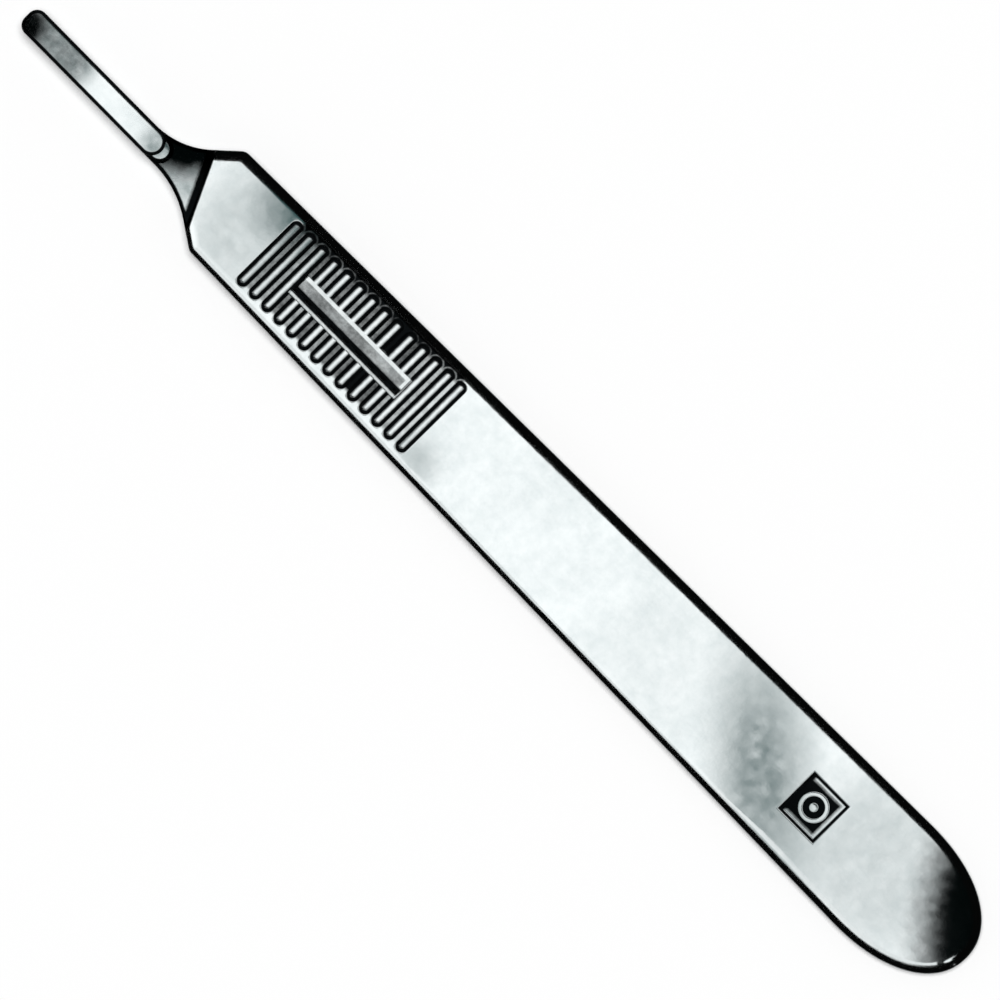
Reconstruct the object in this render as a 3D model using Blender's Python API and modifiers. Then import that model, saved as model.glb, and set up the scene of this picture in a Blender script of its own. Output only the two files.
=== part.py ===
# Handle for surgical blades, pressed and milled from one stainless steel blank, lying on its back.
# X runs from the blade end to the tail, Z is up, and the origin lies under the middle of the handle.
import math

import bmesh
import bpy
from mathutils import Vector

MM = 0.001

# Outline, seen from above; distances along the handle are measured from the blade end
LENGTH = 125.0 * MM
FRONT_WIDTH = 10.4 * MM  # between the two corners of the nose
TAIL_WIDTH = 13.1 * MM  # where the rounded tail begins
TAIL_LENGTH = 11.0 * MM
TAIL_FULLNESS = 2.15  # exponent of the tail's superellipse, 2 for a plain ellipse
NOSE_HIGH = 23.5 * MM  # blade end to the corner on the +Y side
NOSE_LOW = 26.4 * MM  # blade end to the corner on the -Y side
NOSE_HIGH_ANGLE = math.radians(43)  # of each slanted side of the nose to the handle's length
NOSE_LOW_ANGLE = math.radians(34)
NECK_HIGH_FILLET = 8.0 * MM
NECK_LOW_FILLET = 10.0 * MM
NECK_ROOT = 13.0 * MM  # blade end to where the neck's straight root begins in the tang

# Thickness; the face slopes down evenly from the shoulder to the tail
FRONT_THICKNESS = 3.4 * MM
TAIL_THICKNESS = 1.8 * MM
EDGE_ROUND = 1.05 * MM  # radius of the long edges and of the nose's corners, at the shoulder
EDGE_LIMIT_SHARE = 0.45  # of the thickness, the most that the edges may take from each face

# Blade seat and shoulder
SEAT_DROP = 1.1 * MM  # from the face down to the seat, at the shoulder
SHOULDER = 23.05 * MM  # blade end to the shoulder, on the middle line
SHOULDER_ANGLE = math.radians(25.5)  # from square across the handle
SHOULDER_FILLET = 0.5 * MM
NECK_THICKNESS = 1.2 * MM
BACK_SLOPE_FRONT = 20.5 * MM  # the back slopes up from the handle to the neck between these
BACK_SLOPE_REAR = 26.0 * MM

# Tang that the blade slides on: a bar under the blade, a narrow core in its slot, and a lip over its edges
TANG_WIDTH = 2.7 * MM
TANG_OFFSET = -0.45 * MM  # of the tang's middle line from the handle's
TIP_ROUND = 1.05 * MM
CORE_WIDTH = 1.9 * MM
CORE_FRONT = 0.5 * MM
CORE_REAR = 18.65 * MM
CORE_RISE = 0.2 * MM  # of its rear end above the underside of the lip
BLADE_GAP = 0.5 * MM  # height of the side grooves
LIP_THICKNESS = 0.5 * MM
LIP_REAR = 18.0 * MM
LIP_ROUND = 0.3 * MM
RAMP_LENGTH = 2.3 * MM
RAMP_DROP = 0.35 * MM

# Grip pressed into both faces: round-bottomed grooves across, and a trough along the middle that those on
# its +Y side run into
GRIP_START = 31.95 * MM  # blade end to the first groove
GROOVE_COUNT = 14
GROOVE_PITCH = 1.656 * MM
GROOVE_WIDTH = 1.3 * MM
GROOVE_DEPTH = 0.4 * MM
GROOVE_MARGIN = 1.1 * MM  # from the groove's end to the handle's side
TROUGH_LENGTH = 14.2 * MM
TROUGH_WIDTH = 2.1 * MM
TROUGH_OFFSET = 0.15 * MM  # of its middle line from the handle's
TROUGH_DEPTH = 0.5 * MM
TROUGH_WALL = 0.45 * MM  # width of its sloping walls
TROUGH_RIM = 0.38 * MM  # left standing between its -Y side and the grooves there

# Square mark pressed into the face near the tail
MARK_PLACE = 104.8 * MM
MARK_OFFSET = -0.2 * MM
MARK_LENGTH = 4.8 * MM
MARK_WIDTH = 5.0 * MM
MARK_DEPTH = 0.3 * MM
MARK_WALL = 0.35 * MM

# Modelling
OVERRUN = 1.0 * MM  # how far a cutter passes what it cuts
LAP = 0.25 * MM  # how far a joined piece goes into its neighbour
WELD = 0.0001 * MM
TAIL_STEPS = 28
CORNER_ANGLE = math.radians(20)  # an outline's bend that is a corner and not a step of a curve
FILLET_STEPS = 12
EDGE_SEGMENTS = 4
GROOVE_STEPS = 24
STEEL = (0.80, 0.81, 0.82, 1)

SEAT = FRONT_THICKNESS - SEAT_DROP
NECK_BACK = SEAT - NECK_THICKNESS
FACE_FALL = (FRONT_THICKNESS - TAIL_THICKNESS) / (LENGTH - SHOULDER)


def along(distance):
    # X of a place given by its distance from the blade end
    return distance - LENGTH / 2


def face_height(x):
    return FRONT_THICKNESS - FACE_FALL * (x - along(SHOULDER))


GRIP_MIDDLE = along(GRIP_START + GROOVE_PITCH * (GROOVE_COUNT - 1) / 2)


def half_width(x):
    # Half the width of the handle between the nose and the tail
    front, widest = along(NOSE_LOW), along(LENGTH - TAIL_LENGTH)
    share = (x - front) / (widest - front)
    return (FRONT_WIDTH + (TAIL_WIDTH - FRONT_WIDTH) * share) / 2


def rounded(corners):
    # Outline through (point, radius) corners, each one replaced by its arc
    points = []
    for index, (corner, radius) in enumerate(corners):
        if radius == 0:
            points.append(corner)
            continue
        back = (corners[index - 1][0] - corner).normalized()
        ahead = (corners[(index + 1) % len(corners)][0] - corner).normalized()
        half = back.angle(ahead) / 2
        centre = corner + (back + ahead).normalized() * radius / math.sin(half)
        start = corner + back * radius / math.tan(half) - centre
        end = corner + ahead * radius / math.tan(half) - centre
        first = math.atan2(start.y, start.x)
        turn = (math.atan2(end.y, end.x) - first + math.pi) % math.tau - math.pi
        for step in range(FILLET_STEPS + 1):
            angle = first + turn * step / FILLET_STEPS
            points.append(centre + radius * Vector((math.cos(angle), math.sin(angle))))
    return points


def neck_outline():
    # The whole handle but for the tang's bar: a square-ended neck, the slanted nose and the rounded tail
    low, high = TANG_OFFSET - TANG_WIDTH / 2, TANG_OFFSET + TANG_WIDTH / 2
    side = FRONT_WIDTH / 2
    low_corner = Vector((along(NOSE_LOW), -side))
    high_corner = Vector((along(NOSE_HIGH), side))
    neck_low = Vector((low_corner.x - (low + side) / math.tan(NOSE_LOW_ANGLE), low))
    neck_high = Vector((high_corner.x - (side - high) / math.tan(NOSE_HIGH_ANGLE), high))
    widest = along(LENGTH - TAIL_LENGTH)
    tail = []
    for step in range(TAIL_STEPS + 1):
        angle = math.pi * (step / TAIL_STEPS - 1 / 2)
        reach = max(math.cos(angle), 0) ** (2 / TAIL_FULLNESS)
        swing = math.copysign(abs(math.sin(angle)) ** (2 / TAIL_FULLNESS), angle)
        tail.append((Vector((widest + TAIL_LENGTH * reach, TAIL_WIDTH / 2 * swing)), 0))
    root = [(Vector((along(NECK_ROOT), high)), 0), (Vector((along(NECK_ROOT), low)), 0)]
    nose_low = [(neck_low, NECK_LOW_FILLET), (low_corner, 0)]
    nose_high = [(high_corner, 0), (neck_high, NECK_HIGH_FILLET)]
    return rounded(root + nose_low + tail + nose_high)


def bar_outline(front, rear, width, front_round, rear_round):
    # Straight bar on the tang's middle line
    low, high = TANG_OFFSET - width / 2, TANG_OFFSET + width / 2
    return rounded([(Vector((along(front), low)), front_round), (Vector((along(rear), low)), rear_round),
                    (Vector((along(rear), high)), rear_round), (Vector((along(front), high)), front_round)])


def evaluated_mesh(thing):
    bpy.context.view_layer.update()
    seen = thing.evaluated_get(bpy.context.evaluated_depsgraph_get())
    return bpy.data.meshes.new_from_object(seen)


def new_object(name, mesh, collection):
    thing = bpy.data.objects.new(name, mesh)
    collection.objects.link(thing)
    return thing


def new_cutter(name, mesh):
    thing = new_object(name, mesh, cutters)
    thing.hide_render = True
    thing.display_type = "WIRE"
    return thing


def plate(name, outline, low, high):
    # Closed mesh of a flat outline between two heights
    curve = bpy.data.curves.new(name + "_outline", "CURVE")
    curve.dimensions = "2D"
    curve.fill_mode = "BOTH"
    curve.extrude = (high - low) / 2
    spline = curve.splines.new("POLY")
    spline.points.add(len(outline) - 1)
    for point, place in zip(spline.points, outline):
        point.co = (place.x, place.y, 0, 1)
    spline.use_cyclic_u = True
    drawn = bpy.data.objects.new(curve.name, curve)
    cutters.objects.link(drawn)
    mesh = evaluated_mesh(drawn)
    bpy.data.objects.remove(drawn)
    mesh.name = name
    bm = bmesh.new()
    bm.from_mesh(mesh)
    bmesh.ops.remove_doubles(bm, verts=bm.verts, dist=WELD)
    bmesh.ops.translate(bm, verts=bm.verts, vec=(0, 0, (low + high) / 2))
    bmesh.ops.dissolve_limit(bm, angle_limit=math.radians(0.1), verts=bm.verts, edges=bm.edges)
    bm.to_mesh(mesh)
    bm.free()
    return mesh


def lies_at(edge, height):
    return all(abs(vert.co.z - height) < WELD for vert in edge.verts)


def round_edges(mesh, radius, wanted):
    bm = bmesh.new()
    bm.from_mesh(mesh)
    bmesh.ops.bevel(bm, geom=[edge for edge in bm.edges if wanted(edge)], offset=radius, offset_type="OFFSET",
                    segments=EDGE_SEGMENTS, profile=0.5, affect="EDGES", clamp_overlap=False)
    bm.to_mesh(mesh)
    bm.free()


def boolean(thing, other, operation):
    modifier = thing.modifiers.new(other.name, "BOOLEAN")
    modifier.operation = operation
    modifier.solver = "EXACT"
    if isinstance(other, bpy.types.Collection):
        modifier.operand_type = "COLLECTION"
        modifier.collection = other
    else:
        modifier.object = other


def make_blank():
    # The outlined blank with its rims and the nose's corners rounded, thinned evenly to the tail
    def is_rounded(edge):
        on_rim = lies_at(edge, 0) or lies_at(edge, FRONT_THICKNESS)
        at_root = any(vert.co.x < along(NECK_ROOT) + WELD for vert in edge.verts)
        return on_rim or edge.calc_face_angle(0) > CORNER_ANGLE and not at_root

    mesh = plate("handle", neck_outline(), 0, FRONT_THICKNESS)
    round_edges(mesh, min(EDGE_ROUND, FRONT_THICKNESS * EDGE_LIMIT_SHARE), is_rounded)
    for vert in mesh.vertices:
        vert.co.z *= face_height(vert.co.x) / FRONT_THICKNESS
    return new_object("handle", mesh, handle_parts)


def add_tang(handle):
    # The bar under the blade, thicker here than the neck that it is milled flush with
    outline = bar_outline(0, NECK_ROOT + LAP, TANG_WIDTH, TIP_ROUND, 0)
    boolean(handle, new_cutter("tang", plate("tang", outline, NECK_BACK - LAP, SEAT + LAP)), "UNION")


def cut_seat(handle):
    # Mills the neck down to the seat, up to an oblique shoulder with a rounded foot
    reach = TAIL_WIDTH
    lean = math.tan(SHOULDER_ANGLE) * reach
    front = along(0) - OVERRUN
    outline = [Vector((front, -reach)), Vector((along(SHOULDER) + lean, -reach)),
               Vector((along(SHOULDER) - lean, reach)), Vector((front, reach))]
    mesh = plate("seat_cut", outline, SEAT, FRONT_THICKNESS + OVERRUN)
    round_edges(mesh, SHOULDER_FILLET,
                lambda edge: lies_at(edge, SEAT) and all(vert.co.x > front + WELD for vert in edge.verts))
    boolean(handle, new_cutter("seat_cut", mesh), "DIFFERENCE")


def side_cutter(name, profile):
    # Cutter right across the handle, from a profile of X and height
    mesh = plate(name, [Vector(point) for point in profile], -TAIL_WIDTH, TAIL_WIDTH)
    cutter = new_cutter(name, mesh)
    cutter.rotation_euler.x = math.pi / 2
    return cutter


def cut_neck_back(handle):
    front = along(0) - OVERRUN
    profile = [(front, -OVERRUN), (along(BACK_SLOPE_REAR), -OVERRUN), (along(BACK_SLOPE_REAR), 0),
               (along(BACK_SLOPE_FRONT), NECK_BACK), (front, NECK_BACK)]
    boolean(handle, side_cutter("back_cut", profile), "DIFFERENCE")


def add_blade_rail(handle):
    # Core and lip on top of the tang, with the ramp that lets a blade's slot ride up on the tip
    under_lip = SEAT + BLADE_GAP
    top = under_lip + LIP_THICKNESS
    core_round = TIP_ROUND * CORE_WIDTH / TANG_WIDTH
    core = plate("core", bar_outline(CORE_FRONT, CORE_REAR, CORE_WIDTH, core_round, CORE_WIDTH / 2),
                 SEAT - LAP, under_lip + CORE_RISE)
    boolean(handle, new_cutter("core", core), "UNION")
    lip_mesh = plate("lip", bar_outline(0, LIP_REAR, TANG_WIDTH, TIP_ROUND, TANG_WIDTH / 2), under_lip, top)
    round_edges(lip_mesh, LIP_ROUND, lambda edge: lies_at(edge, top))
    lip = new_cutter("lip", lip_mesh)
    slope = RAMP_DROP / RAMP_LENGTH
    ramp = [(along(-OVERRUN), top - RAMP_DROP - slope * OVERRUN), (along(RAMP_LENGTH), top),
            (along(RAMP_LENGTH), top + OVERRUN), (along(-OVERRUN), top + OVERRUN)]
    boolean(lip, side_cutter("ramp_cut", ramp), "DIFFERENCE")
    boolean(handle, lip, "UNION")


def groove_mesh(name, half_length):
    # Capsule about the Z axis, turned from its outer profile: two quarter rounds and a straight side
    radius = (GROOVE_WIDTH ** 2 / 4 + GROOVE_DEPTH ** 2) / (2 * GROOVE_DEPTH)
    centre = half_length - GROOVE_WIDTH / 2
    quarter = GROOVE_STEPS // 4
    profile = bmesh.new()
    angles = [math.pi / 2 * step / quarter for step in range(quarter + 1)]
    places = [(radius * math.sin(angle), centre + radius * math.cos(angle)) for angle in angles]
    places += [(x, -z) for x, z in reversed(places)]
    verts = [profile.verts.new((x, 0, z)) for x, z in places]
    for upper, lower in zip(verts, verts[1:]):
        profile.edges.new((upper, lower))
    mesh = bpy.data.meshes.new(name)
    profile.to_mesh(mesh)
    profile.free()
    turned = bpy.data.objects.new(name, mesh)
    cutters.objects.link(turned)
    screw = turned.modifiers.new("turn", "SCREW")
    screw.steps = screw.render_steps = GROOVE_STEPS
    screw.use_merge_vertices = True
    screw.merge_threshold = WELD
    made = evaluated_mesh(turned)
    bpy.data.objects.remove(turned)
    return made, radius


def groove_spans(x):
    # From and to, across the handle; the ends follow the flaring sides, and the trough parts the middle ones
    reach = half_width(x) - GROOVE_MARGIN
    if abs(x - GRIP_MIDDLE) > TROUGH_LENGTH / 2:
        return [(-reach, reach)]
    return [(-reach, TROUGH_OFFSET - TROUGH_WIDTH / 2 - TROUGH_RIM), (TROUGH_OFFSET, reach)]


def cut_grooves(handle):
    # Rows of capsules sunk into the face and the back
    grooves = bpy.data.collections.new("grooves")
    cutters.children.link(grooves)
    for index in range(GROOVE_COUNT):
        x = along(GRIP_START + GROOVE_PITCH * index)
        for low, high in groove_spans(x):
            mesh, radius = groove_mesh(f"groove_{index + 1}", (high - low) / 2)
            lift = radius - GROOVE_DEPTH
            for height in (face_height(x) + lift, -lift):
                cutter = new_cutter(mesh.name, mesh)
                cutters.objects.unlink(cutter)
                grooves.objects.link(cutter)
                cutter.rotation_euler.x = math.pi / 2
                cutter.location = (x, (low + high) / 2, height)
    boolean(handle, grooves, "DIFFERENCE")


def pocket(name, length, width, depth, wall):
    # Box with walls that slope in to its floor; its top passes the face by the overrun
    bm = bmesh.new()
    bmesh.ops.create_cube(bm, size=1)
    for vert in bm.verts:
        rise = OVERRUN if vert.co.z > 0 else -depth
        vert.co.x *= length + 2 * wall * rise / depth
        vert.co.y *= width + 2 * wall * rise / depth
        vert.co.z = rise
    mesh = bpy.data.meshes.new(name)
    bm.to_mesh(mesh)
    bm.free()
    return new_cutter(name, mesh)


def cut_pockets(handle):
    # The trough along the middle of the grip, on both faces, and the square mark on one
    tilt = math.atan(FACE_FALL)
    trough = pocket("trough_face", TROUGH_LENGTH, TROUGH_WIDTH, TROUGH_DEPTH, TROUGH_WALL)
    trough.location = (GRIP_MIDDLE, TROUGH_OFFSET, face_height(GRIP_MIDDLE))
    trough.rotation_euler.y = tilt
    boolean(handle, trough, "DIFFERENCE")
    back = pocket("trough_back", TROUGH_LENGTH, TROUGH_WIDTH, TROUGH_DEPTH, TROUGH_WALL)
    back.location = (GRIP_MIDDLE, TROUGH_OFFSET, 0)
    back.rotation_euler.x = math.pi
    boolean(handle, back, "DIFFERENCE")
    mark = pocket("mark", MARK_LENGTH, MARK_WIDTH, MARK_DEPTH, MARK_WALL)
    mark.location = (along(MARK_PLACE), MARK_OFFSET, face_height(along(MARK_PLACE)))
    mark.rotation_euler.y = tilt
    boolean(handle, mark, "DIFFERENCE")


def steel():
    material = bpy.data.materials.new("steel")
    material.use_nodes = True
    shader = material.node_tree.nodes["Principled BSDF"]
    shader.inputs["Base Color"].default_value = STEEL
    shader.inputs["Metallic"].default_value = 1
    shader.inputs["Roughness"].default_value = 0.28
    return material


for old in list(bpy.data.objects):
    bpy.data.objects.remove(old)
handle_parts = bpy.data.collections.new("scalpel_handle")
cutters = bpy.data.collections.new("cutters")
for collection in (handle_parts, cutters):
    bpy.context.scene.collection.children.link(collection)

blank = make_blank()
add_tang(blank)
cut_seat(blank)
cut_neck_back(blank)
add_blade_rail(blank)
cut_grooves(blank)
cut_pockets(blank)

finished = evaluated_mesh(blank)
blank.modifiers.clear()
blank.data = finished
finished.name = "handle"
finished.shade_smooth()
finished.set_sharp_from_angle(angle=math.radians(28))
finished.materials.clear()
finished.materials.append(steel())
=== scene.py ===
# Scalpel handle in satin steel, lying on its back on a white table, seen from straight above.
# Lengths are millimetres and angles degrees; they become metres and radians where a mesh or a lamp is made.
import math

import bmesh
import bpy
import numpy as np
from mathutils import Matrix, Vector


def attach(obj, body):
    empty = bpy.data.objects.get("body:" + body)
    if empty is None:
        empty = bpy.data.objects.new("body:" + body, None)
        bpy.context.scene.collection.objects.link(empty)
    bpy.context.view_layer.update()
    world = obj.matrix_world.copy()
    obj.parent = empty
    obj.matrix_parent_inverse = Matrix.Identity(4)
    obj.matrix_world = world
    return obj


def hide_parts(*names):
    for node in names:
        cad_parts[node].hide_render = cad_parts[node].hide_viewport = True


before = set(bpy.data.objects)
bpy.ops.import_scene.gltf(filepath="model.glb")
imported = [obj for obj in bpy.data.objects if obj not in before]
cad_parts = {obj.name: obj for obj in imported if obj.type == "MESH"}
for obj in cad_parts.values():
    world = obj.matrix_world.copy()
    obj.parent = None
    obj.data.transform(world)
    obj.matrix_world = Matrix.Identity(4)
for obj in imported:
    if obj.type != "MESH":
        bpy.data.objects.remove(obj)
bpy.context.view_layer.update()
mm = 0.001

# Plan of the blank, x from blade end to tail
plan = {
    "length": 125.0,
    "frontWidth": 10.4,  # across the two nose corners
    "tailWidth": 13.1,
    "tailLength": 11.0,
    "tailFullness": 2.15,  # 2 is a plain ellipse
    "tailSteps": 160,
    "noseHigh": 23.5,  # blade end to the nose corner on each side
    "noseLow": 26.4,
    "noseHighAngle": 43.0,
    "noseLowAngle": 34.0,
    "neckHighFillet": 8.0,
    "neckLowFillet": 10.0,
    "cornerRound": 1.08,
    "tangWidth": 2.7,
    "tangOffset": -0.45,
    "tipRound": 1.05,
    "roundSteps": 24,
}

# Section of the blank
section = {
    "frontThick": 3.4,
    "tailThick": 1.8,
    "edgeRound": 1.05,
    "fullerFront": 0.13,  # how much rounder the long edges are at the front
    "smallRound": 0.28,  # broken edges of the neck and tang
    "seat": 2.3,  # height of the flat that the blade lies on
    "shoulder": 23.05,
    "shoulderAngle": 25.5,
    "shoulderFoot": 0.5,
    "shoulderTop": 0.1,
    "neckBack": 1.1,  # clearance under the neck
    "backSlopeFront": 20.5,
    "backSlopeRear": 26.0,
    "backSoft": 0.15,
}

halfLength = plan["length"] / 2
shoulderX = section["shoulder"] - halfLength
lean = math.tan(math.radians(section["shoulderAngle"]))
fall = (section["frontThick"] - section["tailThick"]) / (plan["length"] - section["shoulder"])


def faceAt(x):
    # height of the face over the table
    return section["frontThick"] - fall * (x - shoulderX)


def smoothMax(a, b, soft):
    blend = np.clip(soft - np.abs(a - b), 0, None) / soft
    return np.maximum(a, b) + blend * blend * soft / 4


def smoothMin(a, b, soft):
    return -smoothMax(-a, -b, soft)


def smoothStep(low, high, x):
    t = np.clip((x - low) / (high - low), 0, 1)
    return t * t * (3 - 2 * t)


def roundedLoop(corners, steps):
    points = []
    for index, (corner, radius) in enumerate(corners):
        if radius == 0:
            points.append(corner)
            continue
        back = (corners[index - 1][0] - corner).normalized()
        ahead = (corners[(index + 1) % len(corners)][0] - corner).normalized()
        half = back.angle(ahead) / 2
        centre = corner + (back + ahead).normalized() * radius / math.sin(half)
        start = corner + back * radius / math.tan(half) - centre
        end = corner + ahead * radius / math.tan(half) - centre
        first = math.atan2(start.y, start.x)
        turn = (math.atan2(end.y, end.x) - first + math.pi) % math.tau - math.pi
        for step in range(steps + 1):
            angle = first + turn * step / steps
            points.append(centre + radius * Vector((math.cos(angle), math.sin(angle))))
    return points


def blankPlan():
    low = plan["tangOffset"] - plan["tangWidth"] / 2
    high = plan["tangOffset"] + plan["tangWidth"] / 2
    side = plan["frontWidth"] / 2
    lowCorner = Vector((plan["noseLow"] - halfLength, -side))
    highCorner = Vector((plan["noseHigh"] - halfLength, side))
    neckLow = Vector((lowCorner.x - (low + side) / math.tan(math.radians(plan["noseLowAngle"])), low))
    neckHigh = Vector((highCorner.x - (side - high) / math.tan(math.radians(plan["noseHighAngle"])), high))
    widest = halfLength - plan["tailLength"]
    tail = []
    for step in range(plan["tailSteps"] + 1):
        angle = math.pi * (step / plan["tailSteps"] - 0.5)
        reach = max(math.cos(angle), 0) ** (2 / plan["tailFullness"])
        swing = math.copysign(abs(math.sin(angle)) ** (2 / plan["tailFullness"]), angle)
        tail.append((Vector((widest + plan["tailLength"] * reach, plan["tailWidth"] / 2 * swing)), 0))
    tip = [(Vector((-halfLength, high)), plan["tipRound"]), (Vector((-halfLength, low)), plan["tipRound"])]
    return roundedLoop(tip + [(neckLow, plan["neckLowFillet"]), (lowCorner, plan["cornerRound"])] + tail
                       + [(highCorner, plan["cornerRound"]), (neckHigh, plan["neckHighFillet"])],
                       plan["roundSteps"])


outline = np.array([tuple(p) for p in blankPlan()])
outlineNext = np.roll(outline, -1, axis=0)


def insetAt(x, y):
    # distance of each plan point from the blank's outline
    points = np.stack([x.ravel(), y.ravel()], axis=1)
    along = outlineNext - outline
    lengths = np.maximum((along ** 2).sum(1), 1e-12)
    nearest = np.empty(len(points))
    for start in range(0, len(points), 4000):
        part = points[start:start + 4000]
        away = part[:, None, :] - outline[None]
        share = np.clip((away * along[None]).sum(2) / lengths[None], 0, 1)
        gap = away - share[..., None] * along[None]
        nearest[start:start + 4000] = np.sqrt((gap ** 2).sum(2).min(1))
    return nearest.reshape(x.shape)


def reachAlong(origin, direction):
    # from a point inside the plan to the outline
    along = outlineNext - outline
    away = outline - origin
    cross = direction[0] * along[:, 1] - direction[1] * along[:, 0]
    cross = np.where(np.abs(cross) < 1e-12, 1e-12, cross)
    out = (away[:, 0] * along[:, 1] - away[:, 1] * along[:, 0]) / cross
    share = (away[:, 0] * direction[1] - away[:, 1] * direction[0]) / cross
    good = (out > 1e-6) & (share >= -1e-9) & (share <= 1 + 1e-9)
    return out[good].min()


# Grip pressed into both faces
grip = {
    "start": 31.95,
    "count": 14,
    "pitch": 1.656,
    "width": 1.3,
    "depth": 0.4,
    "margin": 1.1,
    "troughLength": 14.2,
    "troughLow": -0.9,
    "troughHigh": 1.2,
    "troughDepth": 0.5,
    "troughWall": 0.45,
    "rim": 0.38,
    "soft": 0.1,  # how far the pressed edges are rounded over
    "meet": 0.04,  # and where grooves and trough run together
    "ledge": 0.47,
    "ledgeWall": (0.09, 0.03),  # width and rounding
    "rimWall": (0.1, 0.03),
    "wallFall": 1.9,  # steepness of a groove's wall outside its bowl
    "reach": (-33, -6),  # x that the back's own grip keeps to
}
gripMiddle = grip["start"] - halfLength + grip["pitch"] * (grip["count"] - 1) / 2

# Square mark pressed into the face
mark = {
    "place": 104.8,
    "offset": -0.2,
    "length": 4.8,
    "width": 5.0,
    "depth": 0.3,
    "wall": 0.35,
    "soft": 0.07,
    # painted shade on the mark's floor
    "floorShade": 0.99,
    "ringOuter": 1.5,
    "ringInner": 1.05,
    "dot": 0.45,
    "ringSoft": 0.08,  # rounding of the ring's and the dot's edges
    "ringSteps": 72,
}


def sideAt(x):
    # half the body's width
    front, widest = plan["noseLow"] - halfLength, halfLength - plan["tailLength"]
    share = (x - front) / (widest - front)
    return (plan["frontWidth"] + (plan["tailWidth"] - plan["frontWidth"]) * share) / 2


def grooveSpans(centre):
    # lowest and highest y of each groove on one line across the grip
    reach = sideAt(centre) - grip["margin"]
    if abs(centre - gripMiddle) > grip["troughLength"] / 2:
        return [(-reach, reach)]
    return [(-reach, grip["troughLow"] + grip["width"] / 2), (grip["troughHigh"] - grip["width"], reach)]


def grooveDepth(x, y):
    radius = (grip["width"] ** 2 / 4 + grip["depth"] ** 2) / (2 * grip["depth"])
    half = grip["width"] / 2
    deepest = np.full(x.shape, -1.0)
    for index in range(grip["count"]):
        centre = grip["start"] - halfLength + grip["pitch"] * index
        near = np.abs(x - centre) < grip["pitch"]
        for low, high in grooveSpans(centre):
            past = np.maximum(0, np.maximum(low + half - y[near], y[near] - high + half))
            off = np.hypot(x[near] - centre, past)
            bowl = np.sqrt(np.maximum(radius ** 2 - off ** 2, 0)) - (radius - grip["depth"])
            raw = np.where(off < half, bowl, -(off - half) * grip["wallFall"])
            deepest[near] = np.maximum(deepest[near], raw)
    return smoothMax(deepest, 0, grip["soft"])


def pocketDepth(x, y, low, high, sizes):
    # sloping walls down to a flat floor, from the distance to the four sides
    inside = np.minimum(np.minimum(x - low[0], high[0] - x), np.minimum(y - low[1], high[1] - y))
    ramp = inside * sizes[0] / sizes[1]
    return smoothMax(smoothMin(ramp, sizes[0], sizes[2]), 0, sizes[2])


def troughDepth(x, y):
    # deep channel, a ledge level with the groove floors on two sides, and one below its lower lip
    left, right = gripMiddle - grip["troughLength"] / 2, gripMiddle + grip["troughLength"] / 2
    low, high = grip["troughLow"], grip["troughHigh"]
    deep = pocketDepth(x, y, (left, low), (right - grip["ledge"], high - grip["ledge"]),
                       (grip["troughDepth"], grip["troughWall"], grip["soft"]))
    ledge = pocketDepth(x, y, (left + 0.3, low + 0.3), (right, high + 0.06),
                        (grip["depth"], *grip["ledgeWall"]))
    rim = pocketDepth(x, y, (left + 0.1, low - grip["rim"] - 0.1), (right - 0.1, low + 0.1),
                      (grip["depth"], *grip["rimWall"]))
    return np.maximum(np.maximum(deep, ledge), rim)


def faceDepth(x, y, withMark):
    depth = smoothMax(grooveDepth(x, y), troughDepth(x, y), grip["meet"])
    if withMark:
        middle = mark["place"] - halfLength
        depth = depth + pocketDepth(x, y, (middle - mark["length"] / 2, mark["offset"] - mark["width"] / 2),
                                    (middle + mark["length"] / 2, mark["offset"] + mark["width"] / 2),
                                    (mark["depth"], mark["wall"], mark["soft"]))
    return depth


def grooveOff(x, y):
    # distance from the nearest groove's middle line, in the plan
    nearest = np.full(x.shape, 9.0)
    for index in range(grip["count"]):
        centre = grip["start"] - halfLength + grip["pitch"] * index
        for low, high in grooveSpans(centre):
            past = np.maximum(0, np.maximum(low + grip["width"] / 2 - y, y - high + grip["width"] / 2))
            nearest = np.minimum(nearest, np.hypot(x - centre, past))
    return nearest


def band(low, high, soft, x):
    return smoothStep(low - soft, low + soft, x) * (1 - smoothStep(high - soft, high + soft, x))


# Painted shade on the pressed places: 0 is the steel's own colour, 1 is black
tones = {
    "wall": (0.08, 0.27),  # off a groove's middle line, where its wall starts and ends to darken
    "rib": 0.7,
    "ribEdge": (-0.07, 0.02),  # from a groove's edge, where a rib starts and is full
    "ribWave": (0.1, 2.1),  # how much, and radians per millimetre
    "ribFade": 0.4,  # beside the first and the last groove
    "ribEnds": ((-0.75, -0.3), (0.25, 0.6)),  # past the grooves' ends, on the lower and the upper side
    "blackRib": (-16.6, 1.8, 0.3),  # x, reach and how much darker
    "palerRear": (-14, -11, 0.3),  # from x to x, and how much paler
    "palerFront": (-29, -27, 0.1),
    "crown": (-0.8, -0.35, 0.97),  # painted shade in an arc round the grooves' upper ends: from, to, how dark
    "crownLine": (0.08, 0.2, 0.04, 0.45),  # a painted highlight line in it: from, to, softness, share
    "floor": 0.7,
    "floorWave": (0.07, 1.3, 1.0),  # how much, radians per millimetre, start
    "floorPaler": (-19, -14, 0.12),
    "ledge": 0.12,
    "rim": 0.3,
    "soft": 0.05,
    "markLine": ((0.3, 0.36), (0.47, 0.62), (0.55, 0.75)),  # painted highlight line in from the mark's sides: on, off, and its end
    "markLineDark": 0.05,
}


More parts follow.
